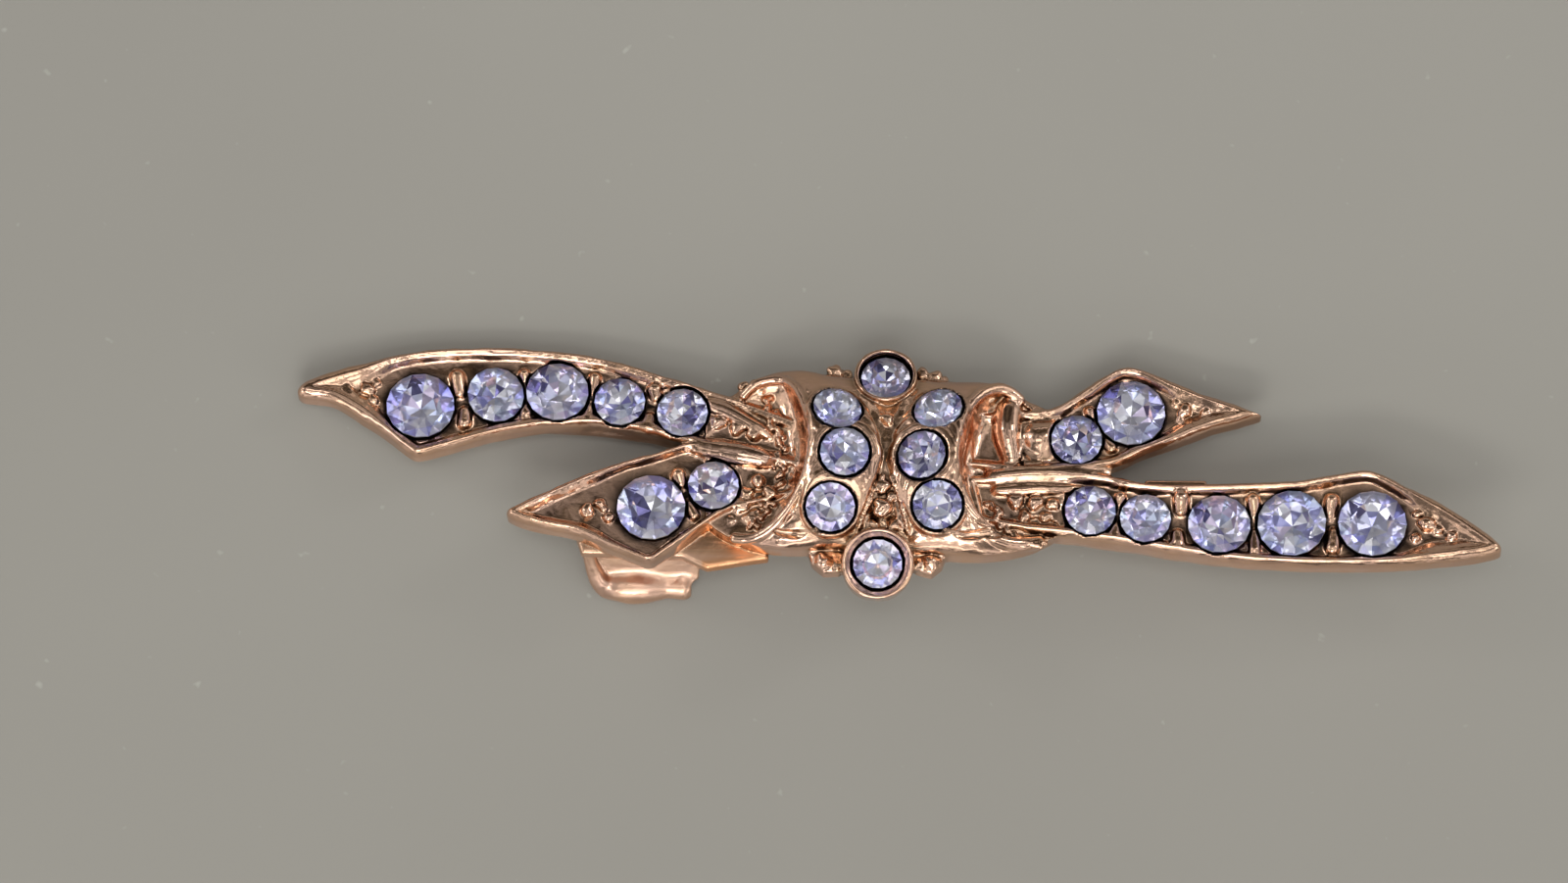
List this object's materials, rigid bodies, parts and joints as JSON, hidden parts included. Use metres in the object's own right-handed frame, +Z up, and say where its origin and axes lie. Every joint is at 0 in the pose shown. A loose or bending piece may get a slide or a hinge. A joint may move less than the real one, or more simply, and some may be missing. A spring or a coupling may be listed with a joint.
{
  "type": "rhinestone bow brooch",
  "caption": "Gold-tone cast bow brooch with four ribbon tails and a domed knot, set with round pale lavender stones, with a pin, hinge and rolled catch behind it.",
  "frame": {"origin": "The middle of the brooch's box, on the surface that it lies on.", "axes": "+X runs along the bow towards the long lower tail, +Y runs across the bow from the catch's side to the upper edge, +Z is up, out of the stones' faces."},
  "size_m": [0.0614, 0.0132, 0.007],
  "materials": {
    "rose_gold_metal": "cast metal with a glossy rose-gold plating, grainy and darker in its recesses",
    "pin_wire": "smooth plated wire",
    "lavender_stone": "cut glass with a foil back, pale lavender"
  },
  "bodies": {
    "root": {"bow_casting": "rose_gold_metal", "pin_stem": "pin_wire", "stone_left_upper_1": "lavender_stone", "stone_left_upper_2": "lavender_stone", "stone_left_upper_3": "lavender_stone", "stone_left_upper_4": "lavender_stone", "stone_left_upper_5": "lavender_stone", "stone_left_lower_1": "lavender_stone", "stone_left_lower_2": "lavender_stone", "stone_right_upper_1": "lavender_stone", "stone_right_upper_2": "lavender_stone", "stone_right_lower_1": "lavender_stone", "stone_right_lower_2": "lavender_stone", "stone_right_lower_3": "lavender_stone", "stone_right_lower_4": "lavender_stone", "stone_right_lower_5": "lavender_stone", "stone_knot_left_1": "lavender_stone", "stone_knot_left_2": "lavender_stone", "stone_knot_left_3": "lavender_stone", "stone_knot_right_1": "lavender_stone", "stone_knot_right_2": "lavender_stone", "stone_knot_right_3": "lavender_stone", "stone_knot_top": "lavender_stone", "stone_knot_bottom": "lavender_stone"}
  },
  "joints": []
}
